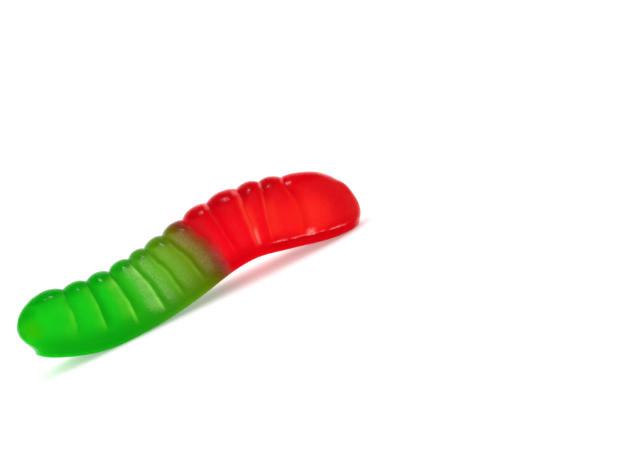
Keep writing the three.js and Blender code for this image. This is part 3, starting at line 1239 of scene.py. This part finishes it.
half = TABLE_SIZE / 2
corners = [(-half, -half, 0), (half, -half, 0), (half, half, 0), (-half, half, 0)]
table_mesh = bpy.data.meshes.new("light_table")
table_mesh.from_pydata(corners, [], [(0, 1, 2, 3)])
acrylic = bpy.data.materials.new("white acrylic")
acrylic.use_nodes = True
acrylic_sockets = {
    "Base Color": (TABLE_WHITE, TABLE_WHITE, TABLE_WHITE, 1),
    "Roughness": 0.8,
    "Specular IOR Level": 0.1,
    "Emission Color": (1, 1, 1, 1),
    "Emission Strength": TABLE_GLOW,
}
fill(acrylic.node_tree, acrylic.node_tree.nodes["Principled BSDF"], acrylic_sockets)
table_mesh.materials.append(acrylic)
table = bpy.data.objects.new("light_table", table_mesh)
bpy.context.scene.collection.objects.link(table)
print("side of the light table in m:", TABLE_SIZE)

# %% [markdown]
# ## The lamps
#
# The tent is four big panels, over, behind and at both sides, and a smaller one at the front left
# picks out the ridges. Their reflections would lie on the jelly as grey patches. A photographer
# takes those away with a polarising filter, and here only the panel behind may be mirrored. The
# tiny glints on the crests of the ridges come from one small, strong lamp that lights nothing
# else.

# %% The lamps
LAMPS = {  # width and depth in metres, place, brightness of the panel
    "overhead": (1.6, 1.2, (0, 0.1, 0.9), 0.9),
    "behind": (1.6, 0.8, (0, 0.9, 0.4), 0.9),
    "left": (0.9, 0.8, (-0.9, 0.0, 0.4), 1.0),
    "right": (0.9, 0.8, (0.9, 0.0, 0.4), 0.8),
    "front_left": (0.3, 0.3, (-0.4, -0.5, 0.35), 4.0),
    "glints": (0.12, 0.08, (0.1, 0.15, 0.9), 220.0),
}
POLARISED = ("overhead", "left", "right", "front_left")
WORM_MIDDLE = Vector((0, 0, 7 * MM))

for name, (width, depth, place, brightness) in LAMPS.items():
    data = bpy.data.lights.new(name, "AREA")
    data.shape = "RECTANGLE"
    data.size, data.size_y = width, depth
    data.energy = brightness * math.pi * width * depth
    lamp = bpy.data.objects.new(name, data)
    lamp.location = place
    lamp.rotation_euler = (Vector(place) - WORM_MIDDLE).to_track_quat("Z", "Y").to_euler()
    lamp.visible_camera = False
    lamp.visible_glossy = name not in POLARISED
    lamp.visible_diffuse = name != "glints"
    bpy.context.scene.collection.objects.link(lamp)
print("lamps:", len(LAMPS))

# %% The white round the table
BACKDROP_WHITE = 1.0  # what the camera sees
TENT_LIGHT = 0.45  # what lights the worm

studio = bpy.data.worlds.new("studio")
studio.use_nodes = True
tent = studio.node_tree
seen = Field(tent, add(tent, "ShaderNodeLightPath").outputs["Is Camera Ray"])
tent_sockets = {
    "Color": (1, 1, 1, 1),
    "Strength": seen * (BACKDROP_WHITE - TENT_LIGHT) + TENT_LIGHT,
}
fill(tent, tent.nodes["Background"], tent_sockets)
bpy.context.scene.world = studio
bpy.context.scene.view_settings.view_transform = "Standard"
print("white of the backdrop:", BACKDROP_WHITE)

# %% [markdown]
# ## The camera
#
# The camera looks at the worm's side from a little above. It stands well back, so the picture is
# almost flat, as with a long lens close to a small thing. It is also rolled: in the picture the
# worm climbs to the right, while here it lies on its belly.

# %% The camera
VIEW_AZIMUTH = math.radians(-5)
VIEW_ELEVATION = math.radians(10)
VIEW_ROLL = math.radians(25)
PICTURE_WIDTH = 103.5 * MM
CAMERA_DISTANCE = 0.6
AIM_RIGHT = 21.75 * MM
AIM_UP = 2.2 * MM
NEAREST_SEEN, FARTHEST_SEEN = 0.05, 20

back = Vector((
    math.sin(VIEW_AZIMUTH) * math.cos(VIEW_ELEVATION),
    -math.cos(VIEW_AZIMUTH) * math.cos(VIEW_ELEVATION),
    math.sin(VIEW_ELEVATION),
))
right = Vector((math.cos(VIEW_AZIMUTH), math.sin(VIEW_AZIMUTH), 0))
up = back.cross(right)
picture_right = right * math.cos(VIEW_ROLL) - up * math.sin(VIEW_ROLL)
picture_up = right * math.sin(VIEW_ROLL) + up * math.cos(VIEW_ROLL)
stand_at = right * AIM_RIGHT + up * AIM_UP + back * CAMERA_DISTANCE
turned = Matrix((picture_right, picture_up, back)).transposed().to_4x4()
camera = bpy.data.objects.new("camera", bpy.data.cameras.new("camera"))
camera.matrix_world = Matrix.Translation(stand_at) @ turned
camera.data.lens = camera.data.sensor_width * CAMERA_DISTANCE / PICTURE_WIDTH
camera.data.clip_start, camera.data.clip_end = NEAREST_SEEN, FARTHEST_SEEN
bpy.context.scene.collection.objects.link(camera)
bpy.context.scene.camera = camera
print("focal length in mm:", round(camera.data.lens, 1))

# %% [markdown]
